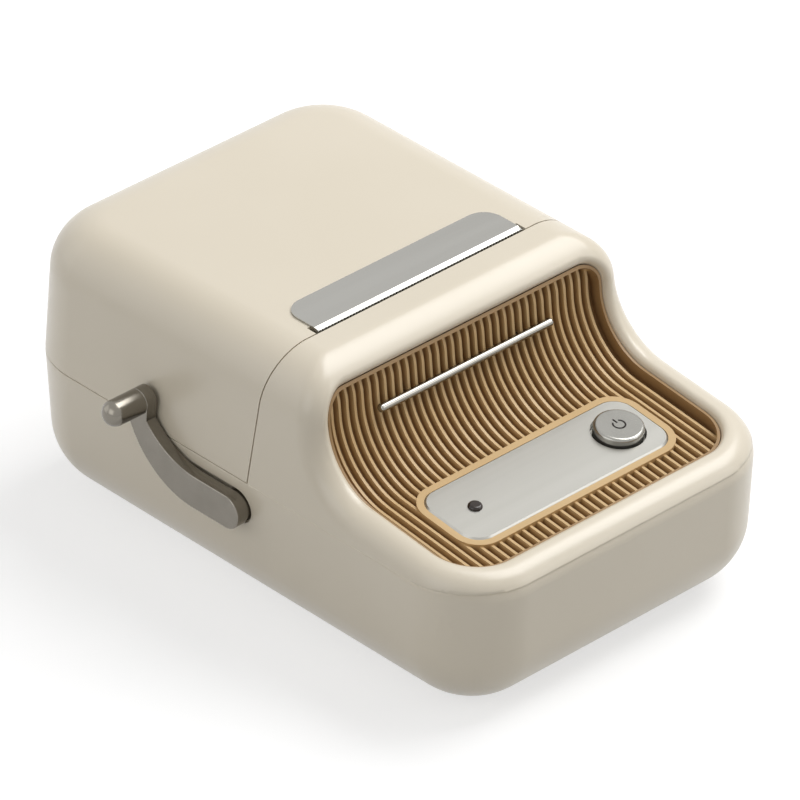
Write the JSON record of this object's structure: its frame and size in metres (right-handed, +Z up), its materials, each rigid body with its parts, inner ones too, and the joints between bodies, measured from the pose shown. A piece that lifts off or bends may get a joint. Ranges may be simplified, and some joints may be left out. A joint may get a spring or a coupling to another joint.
{
  "type": "label printer",
  "caption": "Compact desktop label printer with a ribbed front panel, hinged roll cover, side release lever and tear bar.",
  "frame": {"origin": "middle of the flat underside of the lower shell; the rubber feet reach 0.8 mm below it", "axes": "+X across the body towards the side without the lever, +Y along the body from the front lip to the hinge, +Z up"},
  "size_m": [0.0975, 0.1323, 0.0612],
  "materials": {
    "ivory_shell": "satin",
    "tan_panel": "satin",
    "silver_plate": "brushed",
    "trim_chrome": "polished",
    "nickel": "satin",
    "tear_metal": "satin",
    "button_cap": "satin",
    "lens_dark": "gloss",
    "black_plastic": "matte",
    "steel": "polished",
    "sink_aluminium": "milled",
    "ceramic": "glazed",
    "platen_rubber": "matte",
    "foot_rubber": "matte",
    "acetal": "satin",
    "brass": "machined",
    "circuit_board": "satin",
    "chip_black": "matte",
    "cell_wrap": "satin"
  },
  "bodies": {
    "base": {"lower_shell": "ivory_shell", "front_casing": "ivory_shell", "grille": "tan_panel", "control_plate": "silver_plate", "indicator_lens": "lens_dark", "trim_bar": "trim_chrome", "lever_spring": "steel", "bulkhead": "black_plastic", "head_shaft": "steel", "head_springs": "steel", "label_sensor": "chip_black", "gear_axle": "steel", "axle_clip": "steel", "motor_body": "steel", "roll_bay": "black_plastic", "main_board": "circuit_board", "board_chips": "chip_black", "battery_pack": "cell_wrap", "panel_board": "circuit_board", "button_switch": "chip_black", "indicator_led": "acetal", "charge_board": "circuit_board", "usb_socket": "steel", "rubber_feet": "foot_rubber", "case_screws": "steel", "board_screws": "steel", "hinge_pin": "steel"},
    "lid": {"rear_cover": "ivory_shell", "lid_liner": "black_plastic", "tear_bar": "tear_metal", "platen_bushes": "acetal", "lid_catches": "steel", "lid_screws": "steel"},
    "platen": {"platen_shaft": "steel", "platen_rubber": "platen_rubber", "platen_gear": "acetal", "platen_clip": "steel"},
    "reduction": {"reduction_gear": "acetal"},
    "rotor": {"motor_shaft": "steel", "motor_pinion": "brass"},
    "head": {"print_head": "ceramic", "heat_sink": "sink_aluminium"},
    "lever": {"lever_arm": "nickel", "lever_knob": "nickel", "latch_shaft": "steel", "latch_hooks": "black_plastic"},
    "button": {"power_button": "button_cap"},
    "left_guide": {"guide_left": "acetal"},
    "right_guide": {"guide_right": "acetal"},
    "pinion": {"guide_pinion": "acetal"}
  },
  "joints": [
    {"name": "lid_hinge", "type": "hinge", "parent": "base", "child": "lid", "pos_m": [0, 0.0644, 0.031], "axis": [-1, 0, 0], "range_deg": [0, 80]},
    {"name": "platen_spin", "type": "hinge", "parent": "lid", "child": "platen", "pos_m": [0, -0.0023, 0.05], "axis": [1, 0, 0], "continuous": true},
    {"name": "reduction_spin", "type": "hinge", "parent": "base", "child": "reduction", "pos_m": [0, -0.00469, 0.04179], "axis": [1, 0, 0], "continuous": true},
    {"name": "motor_spin", "type": "hinge", "parent": "base", "child": "rotor", "pos_m": [0, -0.01461, 0.0341], "axis": [1, 0, 0], "continuous": true},
    {"name": "head_tilt", "type": "hinge", "parent": "base", "child": "head", "pos_m": [0, -0.011, 0.0425], "axis": [1, 0, 0], "range_deg": [0, 3], "stiffness_Nm_per_rad": 1, "springref_deg": -5.73},
    {"name": "lever_turn", "type": "hinge", "parent": "base", "child": "lever", "pos_m": [0, -0.0008, 0.024], "axis": [-1, 0, 0], "range_deg": [0, 20], "stiffness_Nm_per_rad": 0.05, "springref_deg": -20.05},
    {"name": "button_press", "type": "slide", "parent": "base", "child": "button", "axis": [0, 0.1184, -0.993], "range_m": [0, 0.0008], "stiffness_N_per_m": 600, "springref_m": -0.001},
    {"name": "left_guide_slide", "type": "slide", "parent": "base", "child": "left_guide", "axis": [1, 0, 0], "range_m": [0, 0.012]},
    {"name": "right_guide_slide", "type": "slide", "parent": "base", "child": "right_guide", "axis": [-1, 0, 0], "range_m": [0, 0.012]},
    {"name": "guide_pinion_turn", "type": "hinge", "parent": "base", "child": "pinion", "pos_m": [0, 0.0346, 0], "axis": [0, 0, 1], "range_deg": [0, 144]}
  ],
  "couplings": [
    {"joint": "reduction_spin", "follows": "platen_spin", "ratio": -1.4286},
    {"joint": "motor_spin", "follows": "platen_spin", "ratio": 3.6735},
    {"joint": "right_guide_slide", "follows": "left_guide_slide", "ratio": 1},
    {"joint": "guide_pinion_turn", "follows": "left_guide_slide", "rad_per_m": 208.33}
  ]
}
